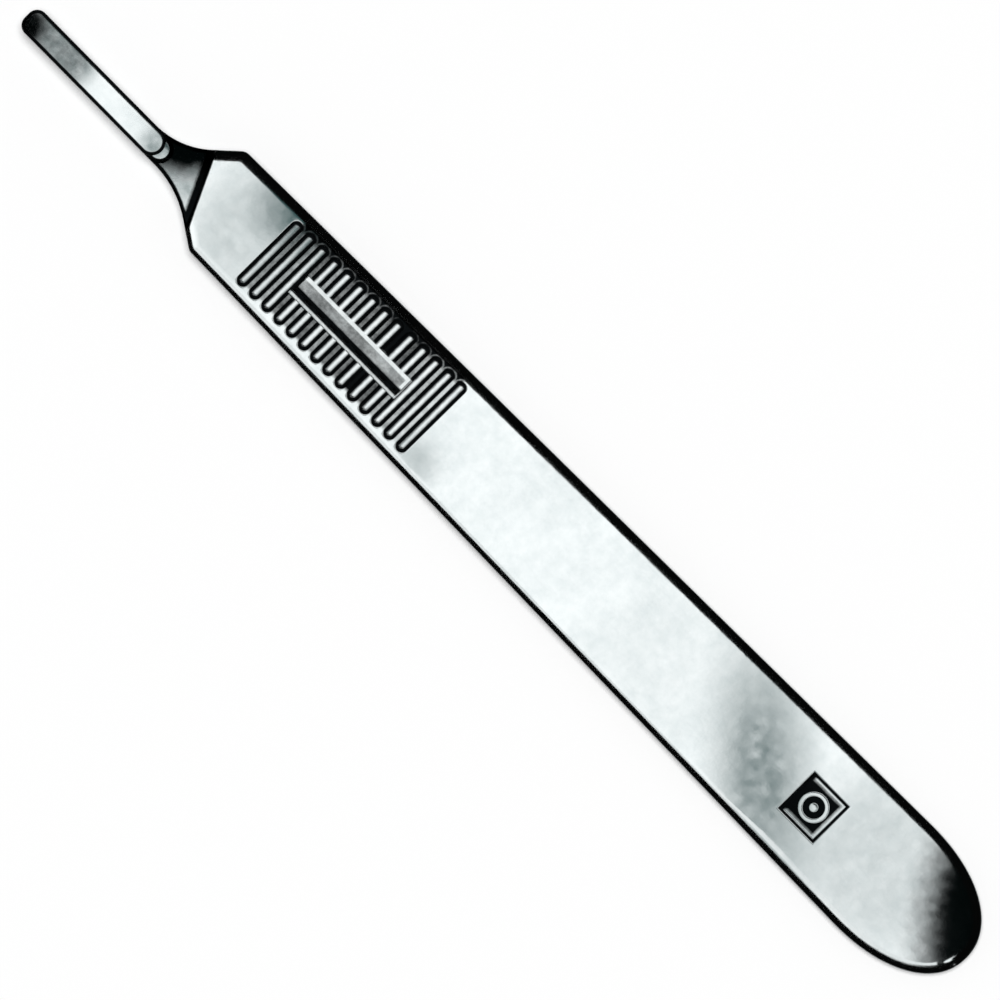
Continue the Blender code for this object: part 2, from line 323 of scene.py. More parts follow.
def gripShade(x, y):
    # painted shade standing in for dark reflections on the grooves' walls, the narrow ribs, the trough and
    # its ledges
    off = grooveOff(x, y)
    half = grip["width"] / 2
    wall = smoothStep(*tones["wall"], off)
    first = grip["start"] - halfLength
    last = first + grip["pitch"] * (grip["count"] - 1)
    fade = tones["ribFade"]
    within = smoothStep(first, first + fade, x) * (1 - smoothStep(last - fade, last, x))
    past = np.abs(y) - sideAt(x) + grip["margin"]
    lowEnd, highEnd = tones["ribEnds"]
    ends = np.where(y < 0, 1 - smoothStep(*lowEnd, past), 1 - smoothStep(*highEnd, past))
    ribs = smoothStep(half + tones["ribEdge"][0], half + tones["ribEdge"][1], off)
    blackX, blackReach, blackMore = tones["blackRib"]
    tone = tones["rib"] + blackMore * np.exp(-((x - blackX) / blackReach) ** 2)
    tone = tone + tones["ribWave"][0] * np.sin(x * tones["ribWave"][1])
    rear, front = tones["palerRear"], tones["palerFront"]
    tone = tone - rear[2] * smoothStep(*rear[:2], x) - front[2] * (1 - smoothStep(*front[:2], x))
    crownFrom, crownTo, crownDark = tones["crown"]
    crown = smoothStep(crownFrom, crownTo, past) * (y > 0)
    lineFrom, lineTo, lineSoft, lineShare = tones["crownLine"]
    line = band(half + lineFrom, half + lineTo, lineSoft, off)
    tone = tone + (crownDark - tone) * crown * (1 - lineShare * line)
    shade = wall * (1 - ribs) + ribs * within * ends * np.minimum(tone, 1)
    left, right = gripMiddle - grip["troughLength"] / 2, gripMiddle + grip["troughLength"] / 2
    low, high = grip["troughLow"], grip["troughHigh"]
    wave, rate, start = tones["floorWave"]
    paler = tones["floorPaler"]
    floor = tones["floor"] + wave * np.sin(x * rate + start) - paler[2] * smoothStep(*paler[:2], x)

    def area(fromX, toX, fromY, toY):
        return band(fromX, toX, tones["soft"], x) * band(fromY, toY, tones["soft"], y)

    floorArea = area(left + 0.4, right - grip["ledge"], low + 0.66, high - grip["ledge"])
    lipArea = area(left, right - 0.12, low - 0.09, low + 0.7)
    endArea = area(left - 0.02, left + 0.4, low, high)
    openArea = area(left + 0.1, right - 0.04, low - grip["rim"], high - 0.1)
    edgeLines = np.where(y < low, tones["rim"], tones["ledge"]) * openArea * (1 - floorArea)
    shade = shade * (1 - openArea) + floor * floorArea + edgeLines
    return np.clip(np.maximum(shade, np.maximum(lipArea, endArea)), 0, 1)


def markShade(x, y):
    # painted shade on the mark's floor, with a painted highlight line inside three of its sides
    middle = mark["place"] - halfLength
    left, right = x - middle + mark["length"] / 2, middle + mark["length"] / 2 - x
    low, high = y - mark["offset"] + mark["width"] / 2, mark["offset"] + mark["width"] / 2 - y
    nearest = np.minimum(np.minimum(left, right), np.minimum(low, high))
    inside = smoothStep(0.0, 0.08, nearest)
    line = np.minimum(right, np.minimum(low, high))
    lineOn, lineOff, lineEnd = tones["markLine"]
    bright = smoothStep(*lineOn, line) * (1 - smoothStep(*lineOff, line))
    bright = bright * smoothStep(*lineEnd, left)
    return inside * (mark["floorShade"] - (mark["floorShade"] - tones["markLineDark"]) * bright)


def quarter(inset, radius):
    # how far a rounded edge has dropped, from 0 at its start to 1 at the side
    share = np.clip((radius - inset) / radius, 0, 1)
    return 1 - np.sqrt(np.maximum(1 - share * share, 0))


# Where the lines of the body's mesh run
lines = {
    # long lines, out from the middle
    "plain": np.linspace(0, 2.2, 21),
    "troughHigh": np.array([0, .25, .4, .5, .6, .7, .74, .78, .82, .9, .97, 1.03, 1.07, 1.11, 1.15, 1.19,
                            1.23, 1.3, 1.45, 1.8, 2.2]),
    "troughLow": np.array([0, .12, .22, .3, .38, .48, .6, .7, .78, .82, .86, .9, .96, 1.06, 1.2, 1.27, 1.31,
                           1.35, 1.4, 1.5, 1.8]),
    "markHigh": np.array([0, .4, .8, 1.2, 1.5, 1.75, 1.86, 1.91, 1.95, 1.99, 2.05, 2.12, 2.2, 2.25, 2.29,
                          2.33, 2.38, 2.45, 2.6, 2.8, 3.1]),
    "markLow": np.array([0, .5, 1.0, 1.5, 1.9, 2.15, 2.26, 2.31, 2.35, 2.39, 2.45, 2.52, 2.6, 2.65, 2.69,
                         2.73, 2.78, 2.85, 3.0, 3.2, 3.5]),
    # long lines, in from the side, the last ones round the edge
    "side": np.concatenate([[2.1, 1.85, 1.68, 1.55, 1.44, 1.34, 1.26, 1.19, 1.13, 1.09],
                            section["edgeRound"] * (1 - np.sin(np.linspace(0, math.pi / 2, 13)))]),
    "fullReach": 5.0,  # where the body is narrower than this each way, they close up
    "gripFade": (-46, -34, -5, 10),  # x where they start and end to bend to the trough, and away again
    "markFade": (20, 36, 46, 50),
    # lines across: beside a groove's middle, and in from each end of the mark
    "groove": (0.0, 0.15, 0.3, 0.42, 0.52, 0.59, 0.635, 0.665, 0.70, 0.77),
    "markEnd": (-0.12, -0.05, 0.0, 0.05, 0.1, 0.175, 0.25, 0.3, 0.35, 0.4, 0.47),
    "tipFan": 20,
    "tailFan": 40,
    "shoulderFoot": 8,
    "shoulderTop": 4,
    "shoulderWall": (0.35, 0.7, 1.0),
}


def bodyStations():
    # each station: x on the middle line, lean of its line, share of the shoulder's rise, angle in a fan
    stations = []
    tipX = -halfLength + plan["tipRound"]
    tailX = halfLength - plan["tailLength"]
    for step in range(lines["tipFan"]):
        stations.append((tipX, 0.0, 0.0, math.pi - math.pi / 2 * step / lines["tipFan"]))
    leanTop = math.radians(section["shoulderAngle"])
    foot = section["shoulderFoot"]
    top = section["shoulderTop"]
    cosLean = math.cos(leanTop)

    def leanAt(x):
        # the lines turn to lie along the shoulder, and back
        rise = smoothStep(-47.0, shoulderX - 1.6, x)
        sink = 1 - smoothStep(shoulderX + 0.5, -31.8, x)
        return float(leanTop * min(rise, sink))

    places = list(np.linspace(tipX, -46.5, 8)) + list(np.arange(-46.2, shoulderX - 0.75, 0.35))
    stations += [(x, leanAt(x), 0.0, None) for x in places]
    for step in range(lines["shoulderFoot"] + 1):
        angle = math.pi / 2 * step / lines["shoulderFoot"]
        stations.append((shoulderX + foot * (math.sin(angle) - 1) / cosLean, leanTop, 0.0, None))
    stations += [(shoulderX, leanTop, level, None) for level in lines["shoulderWall"]]
    for step in range(1, lines["shoulderTop"] + 1):
        angle = math.pi / 2 * step / lines["shoulderTop"]
        stations.append((shoulderX + top * (1 - math.cos(angle)) / cosLean, leanTop, 1.0, None))
    places = list(np.arange(shoulderX + 0.2, -35.2, 0.1)) + list(np.arange(-35.0, -31.9, 0.3))
    beside = lines["groove"]
    for index in range(grip["count"]):
        centre = grip["start"] - halfLength + grip["pitch"] * index
        places += [centre - b for b in reversed(beside[1:])] + [centre + b for b in beside]
        if index < grip["count"] - 1:
            places.append(centre + grip["pitch"] / 2)
    markLow = mark["place"] - halfLength - mark["length"] / 2
    markHigh = markLow + mark["length"]
    places += list(np.linspace(-6.9, markLow - 0.4, 30))
    places += [markLow + s for s in lines["markEnd"]] + list(np.linspace(markLow + 0.8, markHigh - 0.8, 7))
    places += [markHigh - s for s in reversed(lines["markEnd"])]
    places += list(np.linspace(markHigh + 0.4, tailX - 0.5, 8))
    stations += [(x, leanAt(x), 1.0, None) for x in places]
    for step in range(lines["tailFan"] + 1):
        stations.append((tailX, 0.0, 1.0, math.pi / 2 - math.pi / 2 * step / lines["tailFan"]))
    return stations


def fadeShare(x, fade):
    return float(smoothStep(fade[0], fade[1], x) * (1 - smoothStep(fade[2], fade[3], x)))


def lineOffsets(reach, x, side):
    # how far out each long line lies, on the high or the low side
    plain = lines["plain"]
    inner = plain + (lines["trough" + side] - plain) * fadeShare(x, lines["gripFade"])
    inner = inner + (lines["mark" + side] - plain) * fadeShare(x, lines["markFade"])
    scale = min(1.0, reach / lines["fullReach"])
    inner = inner * scale
    outer = reach - lines["side"] * scale
    middle = inner[-1] + (outer[0] - inner[-1]) * np.array([1 / 3, 2 / 3])
    return np.concatenate([inner, middle, outer])


def blankMesh():
    stations = bodyStations()
    tangY = plan["tangOffset"]
    xs, ys, bend = [], [], []
    for x, tilt, level, fan in stations:
        middleY = tangY * (1 - float(smoothStep(-46, -36, x)))
        origin = np.array([x - middleY * math.tan(tilt), middleY])
        high = fan if fan is not None else math.pi / 2 + tilt
        low = -fan if fan is not None else high - math.pi
        rows = []
        for angle, side in ((low, "Low"), (high, "High")):
            direction = np.array([math.cos(angle), math.sin(angle)])
            offsets = lineOffsets(reachAlong(origin, direction), x, side)
            rows.append(origin[None] + offsets[:, None] * direction[None])
        line = np.concatenate([rows[0][::-1], rows[1][1:]])
        xs.append(line[:, 0])
        ys.append(line[:, 1])
        bend.append(level)
    xs, ys = np.array(xs), np.array(ys)
    level = np.array(bend)[:, None]

    # height of the face and of the back at every crossing
    inset = insetAt(xs, ys)
    inset[:, 0] = inset[:, -1] = 0
    face = faceAt(xs)
    fuller = section["fullerFront"]
    rounding = section["edgeRound"] * (1 + fuller - fuller * smoothStep(-30, 25, xs))
    drop = rounding * np.sqrt(face / section["frontThick"])
    bodyTop = face - drop * quarter(inset, rounding)
    ahead = (xs - shoulderX + ys * lean) * math.cos(math.radians(section["shoulderAngle"]))
    foot = section["shoulderFoot"]
    share = np.clip((ahead + foot) / foot, 0, 1)
    small = section["smallRound"]
    cut = section["seat"] + foot * (1 - np.sqrt(1 - share * share)) - small * quarter(inset, small)
    front = np.minimum(cut, bodyTop)
    rear = bodyTop - section["shoulderTop"] * quarter(np.maximum(ahead, 0), section["shoulderTop"])
    top = np.where(level > 0, front * (1 - level) + np.maximum(rear, front) * level, front)
    onBody = (level >= 1) & (ahead > 1e-4)
    top = np.where(onBody, rear, top)
    inGrip = (xs > grip["reach"][0]) & (xs < grip["reach"][1])
    top = top - np.where(level >= 1, faceDepth(xs, ys, True), 0)
    slopeRise = section["neckBack"] / (section["backSlopeRear"] - section["backSlopeFront"])
    slope = (section["backSlopeRear"] - halfLength - xs) * slopeRise
    backSoft = section["backSoft"]
    back = smoothMin(smoothMax(slope, 0, backSoft), section["neckBack"], backSoft)
    bottom = np.maximum(drop * quarter(inset, rounding), back + small * quarter(inset, small))
    bottom = bottom + np.where(inGrip, faceDepth(xs, ys, False), 0)

    # painted shade: the pressed places, the shoulder's wall and the neck's edges, standing in for dark
    # reflections
    shade = np.where(level >= 1, np.maximum(gripShade(xs, ys), markShade(xs, ys)), 0)
    shade = np.maximum(shade, smoothStep(-0.85, -0.7, ahead) * (1 - smoothStep(0.06, 0.14, ahead)))
    shade = np.maximum(shade, (1 - smoothStep(0.32, 0.46, inset)) * (ahead < -0.2))
    underShade = np.where(inGrip, gripShade(xs, ys), 0)
    print("handle stations", len(stations), "lines", xs.shape[1])

    # each station becomes a closed loop: over the face, down one side, back under, and up
    sideSteps = (1 / 3, 2 / 3)
    loops, shades = [], []
    for i in range(len(stations)):
        over = np.stack([xs[i], ys[i], top[i]], axis=1)
        under = np.stack([xs[i], ys[i], bottom[i]], axis=1)[::-1]
        sideHigh = [over[-1] * (1 - s) + under[0] * s for s in sideSteps]
        sideLow = [under[-1] * (1 - s) + over[0] * s for s in sideSteps]
        loops.append(np.concatenate([over, sideHigh, under, sideLow]))
        shades.append(np.concatenate([shade[i], [0, 0], underShade[i][::-1], [0, 0]]))
    loops = np.array(loops)
    count = loops.shape[1]
    verts = loops.reshape(-1, 3) * mm
    index = np.arange(len(verts)).reshape(len(stations), count)
    a, b = index[:-1], index[1:]
    faces = np.stack([a, b, np.roll(b, -1, axis=1), np.roll(a, -1, axis=1)], axis=-1).reshape(-1, 4)
    mesh = bpy.data.meshes.new("handleBlank")
    mesh.from_pydata(verts.tolist(), [], faces.tolist())
    mesh.attributes.new("shade", "FLOAT", "POINT").data.foreach_set("value", np.array(shades).ravel())
    bm = bmesh.new()
    bm.from_mesh(mesh)
    bmesh.ops.remove_doubles(bm, verts=bm.verts, dist=2e-7)
    bmesh.ops.dissolve_degenerate(bm, edges=bm.edges, dist=1e-8)
    bmesh.ops.recalc_face_normals(bm, faces=bm.faces)
    openEdges = sum(1 for e in bm.edges if len(e.link_faces) != 2)
    bm.to_mesh(mesh)
    bm.free()
    print("handle mesh faces", len(mesh.polygons), "open edges", openEdges)
    return mesh


# Rail on the tang: narrow core in the blade's slot, lip over its edges
rail = {
    "coreWidth": 1.9,
    "coreFront": 0.5,
    "coreRear": 18.65,
    "coreTop": 3.0,
    "lipRear": 18.0,
    "lipUnder": 2.8,
    "lipTop": 3.3,
    "lipRound": 0.44,
    "rampLength": 2.3,  # the lip falls away towards the tip
    "rampDrop": 0.35,
    "rampBend": 1.6,
    "foot": 0.36,  # fillet where the core meets the seat
    "sunk": 0.15,  # how deep the core's foot stands in the blank
    "roundSteps": 20,
    "cuts": 30,  # lines across the rail
    "cutPitch": 2.3 / 7,
    "sideShade": (0.018, 0.001),  # under the lip's top, where the painted shade on its round side is full, and where it ends
    "tipShade": 0.4,  # painted shade towards the tip, made uneven by the material's specks
    "tipEnd": (6.5, 8.5),
}


def barLoop(front, rear, width, frontRound, inset):
    # plan of a bar along the tang, with a round rear end
    low = plan["tangOffset"] - width / 2 + inset
    high = plan["tangOffset"] + width / 2 - inset
    left, right = front - halfLength + inset, rear - halfLength - inset
    rearRound = (high - low) / 2 - 0.001
    frontRound = max(frontRound - inset, 0.02)
    return roundedLoop([(Vector((left, low)), frontRound), (Vector((right, low)), rearRound),
                        (Vector((right, high)), rearRound), (Vector((left, high)), frontRound)],
                       rail["roundSteps"])


def joinRows(bm, rows, closed=False):
    # walls from each row of corners to the next, then two caps, or a wall back to the first row
    for lower, upper in list(zip(rows, rows[1:])) + ([(rows[-1], rows[0])] if closed else []):
        for i in range(len(lower)):
            j = (i + 1) % len(lower)
            bm.faces.new((lower[i], lower[j], upper[j], upper[i]))
    if not closed:
        bm.faces.new(list(reversed(rows[0])))
        bm.faces.new(rows[-1])


def railMesh():
    bm = bmesh.new()
    tipRound = plan["tipRound"]

    def stack(front, rear, width, frontRound, levels):
        # closed bar from outlines one over the other
        rings = []
        for inset, height in levels:
            loop = barLoop(front, rear, width, frontRound, inset)
            rings.append([bm.verts.new((p.x, p.y, height)) for p in loop])
        joinRows(bm, rings)

    coreRound = tipRound * rail["coreWidth"] / plan["tangWidth"]
    foot = rail["foot"]
    levels = [(-foot, section["seat"] - rail["sunk"])]
    for step in range(7):
        angle = math.pi / 2 * step / 6
        levels.append((foot * (math.sin(angle) - 1), section["seat"] + foot * (1 - math.cos(angle))))
    levels += [(0, rail["coreTop"] - 0.1), (0.03, rail["coreTop"] - 0.03), (0.1, rail["coreTop"])]
    stack(rail["coreFront"], rail["coreRear"], rail["coreWidth"], coreRound, levels)
    rim = rail["lipRound"]
    levels = [(0.05, rail["lipUnder"]), (0, rail["lipUnder"] + 0.05)]
    for step in range(13):
        angle = math.pi / 2 * step / 12
        levels.append((rim * (1 - math.cos(angle)), rail["lipTop"] - rim * (1 - math.sin(angle))))
    stack(0, rail["lipRear"], plan["tangWidth"], tipRound, levels)
    for step in range(rail["cuts"]):
        place = -halfLength + rail["cutPitch"] * (step + 1)
        bmesh.ops.bisect_plane(bm, geom=bm.verts[:] + bm.edges[:] + bm.faces[:], plane_co=(place, 0, 0),
                               plane_no=(1, 0, 0))
    shade = bm.verts.layers.float.new("shade")
    thick = rail["lipTop"] - rail["lipUnder"]
    sideEnd, sideStart = (rail["lipTop"] - under for under in rail["sideShade"])
    # painted shade on the lip's round sides and towards the tip, none on the core's top
    for vert in bm.verts:
        along = vert.co.x + halfLength
        outer = 1 - float(smoothStep(sideEnd, sideStart, vert.co.z))
        tip = rail["tipShade"] * (1 - float(smoothStep(*rail["tipEnd"], along)))
        onCore = rail["coreTop"] - 0.02 < vert.co.z < rail["coreTop"] + 0.001
        vert[shade] = 0 if onCore else max(outer, tip)
        if vert.co.z > rail["lipUnder"] + 0.06:  # the underside stays flat
            share = min(max(along / rail["rampLength"], 0), 1)
            less = rail["rampDrop"] * (1 - share) ** rail["rampBend"]
            vert.co.z = rail["lipUnder"] + (vert.co.z - rail["lipUnder"]) * (thick - less) / thick
    bmesh.ops.scale(bm, verts=bm.verts, vec=(mm, mm, mm))
    bmesh.ops.recalc_face_normals(bm, faces=bm.faces)
    mesh = bpy.data.meshes.new("bladeRail")
    bm.to_mesh(mesh)
    bm.free()
    print("rail mesh faces", len(mesh.polygons))
    return mesh


def ringMesh():
    # plain raised ring and dot standing on the mark's floor
    middle = mark["place"] - halfLength
    low, high = faceAt(middle) - mark["depth"] - 0.05, faceAt(middle) - 0.03
    soft, count = mark["ringSoft"], mark["ringSteps"]

    def edge(radius, inward):
        # up one side and over its rounded edge
        return [(radius, low), (radius, high - soft), (radius + inward * soft * 0.3, high - soft * 0.3),
                (radius + inward * soft, high)]

    bm = bmesh.new()
    ring = edge(mark["ringOuter"], -1) + edge(mark["ringInner"], 1)[::-1]
    for path, closed in ((ring, True), (edge(mark["dot"], -1), False)):
        rows = []
        for radius, height in path:
            row = []
            for step in range(count):
                angle = math.tau * step / count
                x, y = middle + radius * math.cos(angle), mark["offset"] + radius * math.sin(angle)
                row.append(bm.verts.new((x * mm, y * mm, (height - fall * (x - middle)) * mm)))
            rows.append(row)
        joinRows(bm, rows, closed)
    bmesh.ops.recalc_face_normals(bm, faces=bm.faces)
    mesh = bpy.data.meshes.new("markRing")
    bm.to_mesh(mesh)
    bm.free()
    return mesh


def addPiece(name, mesh, angle, material):
    # edges sharper than the angle stay sharp
    piece = bpy.data.objects.new(name, mesh)
    bpy.context.scene.collection.objects.link(piece)
    mesh.shade_smooth()
    mesh.set_sharp_from_angle(angle=math.radians(angle))
    mesh.materials.append(material)
    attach(piece, "root")
    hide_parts("handle")


def nodeKit(material):
    # the material's links, and short ways to add a node, a map range and a sum
    material.use_nodes = True
    nodes, links = material.node_tree.nodes, material.node_tree.links

    def node(kind, settings=(), values=()):
        made = nodes.new(kind)
        for name, value in dict(settings).items():
            setattr(made, name, value)
        for name, value in dict(values).items():
            made.inputs[name].default_value = value
        return made

    def ranged(value, low, high, toLow, toHigh, kind="LINEAR"):
        made = node("ShaderNodeMapRange", {"interpolation_type": kind},
                    {"From Min": low, "From Max": high, "To Min": toLow, "To Max": toHigh})
        links.new(value, made.inputs["Value"])
        return made.outputs["Result"]

    def maths(operation, one, two):
        made = node("ShaderNodeMath", {"operation": operation, "use_clamp": operation == "MULTIPLY"})
        for socket, value in ((made.inputs[0], one), (made.inputs[1], two)):
            if isinstance(value, (int, float)):
                socket.default_value = value
            else:
                links.new(value, socket)
        return made.outputs[0]

    return links, node, ranged, maths


# Steel finish: tumbled and lightly brushed, with painted shade, near black, where the shade attribute is
# high
steel = {
    "bright": (0.845, 0.89, 0.892, 1),
    "cloud": (0.725, 0.785, 0.79, 1),
    # near black for painted shade, standing in for dark reflections
    "paintedShadeBlack": (0.004, 0.005, 0.0055, 1),
    "cloudScale": 260.0,  # per metre
    "cloudSlant": (40, 0.55),  # turn, and how much longer one way
    "cloudRange": (0.36, 0.64),
    "cloudDepth": 0.9,
    "speckScale": 1500.0,
    "grainScale": (260.0, 5200.0, 5200.0),  # brush lines run along the handle
    "smooth": 0.15,
    "rough": 0.23,
    "brushRough": 0.03,  # how much the brush lines vary it
    "wallRough": 0.12,  # how much rougher the places with painted shade are
    "bump": 0.06,
    "bumpHeight": 0.00004,
    "mottleScale": 1100.0,
    "mottleHeight": 0.00002,
    "mottleShare": 0.4,  # of the clouds' pattern
}


def steelFinish():
    material = bpy.data.materials.new("satinSteel")
    links, node, ranged, maths = nodeKit(material)
    shader = material.node_tree.nodes["Principled BSDF"]
    shader.inputs["Metallic"].default_value = 1

    def mixed(factor, one, two):
        mix = node("ShaderNodeMix", {"data_type": "RGBA"})
        links.new(factor, mix.inputs[0])
        for socket, value in ((mix.inputs[6], one), (mix.inputs[7], two)):
            if isinstance(value, tuple):
                socket.default_value = value
            else:
                links.new(value, socket)
        return mix.outputs[2]

    place = node("ShaderNodeTexCoord").outputs["Object"]
    turn, stretch = steel["cloudSlant"]
    slant = node("ShaderNodeMapping", (), {"Rotation": (0, 0, math.radians(turn)),
                                           "Scale": (1, stretch, 1)})
    links.new(place, slant.inputs["Vector"])
    cloud = node("ShaderNodeTexNoise", (), {"Scale": steel["cloudScale"], "Detail": 4, "Roughness": 0.6})
    links.new(slant.outputs["Vector"], cloud.inputs["Vector"])
    speck = node("ShaderNodeTexNoise", (), {"Scale": steel["speckScale"], "Detail": 3, "Roughness": 0.65})
    links.new(place, speck.inputs["Vector"])
    brush = node("ShaderNodeMapping", (), {"Scale": steel["grainScale"]})
    links.new(place, brush.inputs["Vector"])
    grain = node("ShaderNodeTexNoise", (), {"Scale": 1.0, "Detail": 2, "Roughness": 0.5})
    links.new(brush.outputs["Vector"], grain.inputs["Vector"])

    mottle = node("ShaderNodeTexNoise", (), {"Scale": steel["mottleScale"], "Detail": 2, "Roughness": 0.5})
    links.new(place, mottle.inputs["Vector"])

    # colour: clouds over the whole, and painted shade towards black where the shade attribute is high, a
    # little unevenly
    mottleShare = steel["mottleShare"]
    blotches = maths("ADD", maths("MULTIPLY", cloud.outputs["Fac"], 1 - mottleShare),
                     maths("MULTIPLY", mottle.outputs["Fac"], mottleShare))
    clouds = ranged(blotches, *steel["cloudRange"], 0, steel["cloudDepth"])
    tone = mixed(clouds, steel["bright"], steel["cloud"])
    shade = node("ShaderNodeAttribute", {"attribute_name": "shade"}).outputs["Fac"]
    specks = ranged(speck.outputs["Fac"], 0.35, 0.65, 0, 1)
    uneven = maths("MULTIPLY", specks, maths("SUBTRACT", 1.0, shade))
    depth = maths("ADD", 0.45, maths("ADD", uneven, maths("MULTIPLY", shade, 0.6)))
    patches = maths("MULTIPLY", shade, depth)
    links.new(mixed(patches, tone, steel["paintedShadeBlack"]), shader.inputs["Base Color"])

    # roughness and relief
    wheel = ranged(cloud.outputs["Fac"], 0.3, 0.7, steel["smooth"], steel["rough"])
    brushed = ranged(grain.outputs["Fac"], 0.2, 0.8, -steel["brushRough"], steel["brushRough"])
    fine = maths("ADD", wheel, brushed)
    links.new(maths("ADD", fine, maths("MULTIPLY", shade, steel["wallRough"])), shader.inputs["Roughness"])
    relief = maths("ADD", maths("MULTIPLY", speck.outputs["Fac"], 0.6),
                   maths("MULTIPLY", grain.outputs["Fac"], 0.4))
    waves = node("ShaderNodeBump", (), {"Strength": 1, "Distance": steel["mottleHeight"]})
    links.new(mottle.outputs["Fac"], waves.inputs["Height"])
    bump = node("ShaderNodeBump", (), {"Strength": steel["bump"], "Distance": steel["bumpHeight"]})
    links.new(waves.outputs["Normal"], bump.inputs["Normal"])
    links.new(relief, bump.inputs["Height"])
    links.new(bump.outputs["Normal"], shader.inputs["Normal"])
    return material


satinSteel = steelFinish()
addPiece("handleBody", blankMesh(), 40, satinSteel)
addPiece("bladeRail", railMesh(), 30, satinSteel)
addPiece("markRing", ringMesh(), 40, satinSteel)
print("handle built")

# Table, lamps, dark cards and camera. Only reflections see the panel, tent, card, flags, guards and glints.
studio = {
    "viewSpan": 93.86,  # width of the picture at the face
    "faceHeight": 2.6,
    "lens": 400.0,
    "sensor": 36.0,
    "clipEnd": 20000.0,
    "centre": (1.051, -0.863),
    "roll": 45.34,
    "floorSize": 8000.0,
    "softHeight": 500.0,
    "softCorners": ((266, 60), (60, 115), (-72, 100), (-688, 20), (-1120, -1660), (40, -345), (230, -200)),
    "softLevel": 1.15,
    "floorColour": (0.93, 0.93, 0.93, 1),
    "floorRough": 0.9,
    "fillLevel": 2.75,
    "fillSpread": 30.0,
    "fillTilt": -4.0,
    "skyLevel": 0.2,
    # tent brightness by height over the horizon: sine of the angle, level
    "tentRadius": 2500.0,
    "tentLevels": ((0.0, 0.03), (0.07, 0.2), (0.2, 0.65), (0.42, 0.95), (0.72, 0.88), (0.86, 0.4),
                   (0.92, 0.003)),
    # table brightness by distance from the handle's middle line, which reaches this far each way
    "cardReach": 55.0,
    "cardLevels": ((0.0, 0.4), (7.0, 0.35), (10.0, 0.08), (16.0, 0.003)),
    "cardSize": 6000.0,
    "cardHeight": 0.02,
    # black strips round the body: how far over the face they reach (less than 0 is outside it) at the front
    # and the tail, then their height over the face at the front and the tail
    "lowGuard": ((-0.75, 0.15), (0.12, 0.62)),
    "highGuard": ((0.6, 0.6), (0.8, 0.8)),
    "guardBlack": (0.002, 0.002, 0.002, 1),
    "guardOut": 0.8,  # how far outside the edge they stand
    "guardFoot": 0.3,  # where they end, as a share of the thickness
    "guardFront": -42.5,
    "guardFade": (0.0, 40.0),  # x over which they change from front to tail
    "guardMeet": -1.2,  # y where the two meet at the tail
    "guardSide": 0.95,  # y over which the outline counts as its upper side
    # bright strip over the lower edge: from x, up to y at the tail, height over the face, level, then how
    # far in from the edge it lies at its front and at its tail
    "rimGlow": (33.0, -2.7, 0.7, 0.93, (0.5, 1.3), (0.5, 1.0)),
    "rimTaper": (-0.5, 9.0),  # from its start: it widens from a point
    "rimFront": (7, 1.5),  # points before the tail, and their pitch
    "rimJoin": 0.1,
    # small bright card at the tail: x, y, height, half length, half width, turn
    "glint": (61.95, -1.15, 2.85, 0.34, 0.8, -23.0),
    "glintSides": 24,
    "dappleScale": 1100.0,
    "dappleDetail": 3,
    "dappleSpan": (0.3, 0.7),  # the part of the noise's range that counts
    "dapple": 0.36,  # how uneven the flags' cloth is
    "fray": 0.1,  # and their edges, as a share of the soft part
    "flagTint": (0.045, 0.1, 0.1, 1),
    "blackCloth": 0.02,  # share of that tint left where a flag is wholly dark
    # dark flags over the handle: x, y, height, half length, half width, turn, how dark, soft share
    "flags": {
        "noseShade": (-31.0, 4.6, 7.0, 7.0, 5.4, 0.0, 0.9, 0.9),
        "noseTone": (-34.0, 0.0, 8.0, 8.0, 11.0, 0.0, 0.32, 0.8),
        "gripRear": (-7.0, -4.4, 7.0, 3.6, 4.0, 0.0, 0.4, 0.9),
        "midTone": (23.0, 0.0, 8.0, 10.0, 12.0, 0.0, 0.07, 0.8),
        "slantBand": (36.9, -1.6, 6.5, 19.0, 7.0, -44.0, 0.72, 0.9),
        "tailTone": (50.5, 0.0, 8.0, 12.0, 12.0, 0.0, 0.28, 0.7),
        "tailShade": (63.7, 5.1, 4.6, 20.8, 11.0, -52.0, 1.0, 0.43),
        "neckShade": (-44.5, 3.0, 2.9, 8.0, 5.9, 38.7, 1.0, 0.44),
        "neckTone": (-41.9, -0.9, 3.0, 5.0, 4.0, 0.0, 0.42, 0.6),
        "tipShade": (-62.7, -1.3, 4.4, 3.6, 3.2, 0.0, 1.0, 0.6),
        "tangTone": (-58.5, -0.6, 5.0, 5.4, 4.0, 0.0, 0.55, 0.4),
        "tangRear": (-45.4, -0.4, 5.0, 2.4, 3.0, 0.0, 0.58, 0.8),
    },
}


def plainMaterial(name, colour):
    material = bpy.data.materials.new(name)
    material.use_nodes = True
    shader = material.node_tree.nodes["Principled BSDF"]
    shader.inputs["Base Color"].default_value = colour
    shader.inputs["Roughness"].default_value = studio["floorRough"]
    shader.inputs["Specular IOR Level"].default_value = 0
    return material


def glowMaterial(name, colour, level):
    material = plainMaterial(name, (0, 0, 0, 1))
    shader = material.node_tree.nodes["Principled BSDF"]
    shader.inputs["Emission Color"].default_value = colour
    shader.inputs["Emission Strength"].default_value = level
    material.cycles.emission_sampling = "NONE"
    return material


def reflectedOnly(thing):
    thing.visible_camera = thing.visible_diffuse = thing.visible_shadow = False
    thing.visible_transmission = thing.visible_volume_scatter = False


def addSheet(name, verts, faces, material, unit=mm):
    mesh = bpy.data.meshes.new(name)
    mesh.from_pydata([[c * unit for c in v] for v in verts], [], faces)
    mesh.materials.append(material)
    sheet = bpy.data.objects.new(name, mesh)
    bpy.context.scene.collection.objects.link(sheet)
    reflectedOnly(sheet)
    return sheet


def setPlace(thing, x, y, height, turn):
    thing.location = (x * mm, y * mm, height * mm)
    thing.rotation_euler = (0, 0, math.radians(turn))


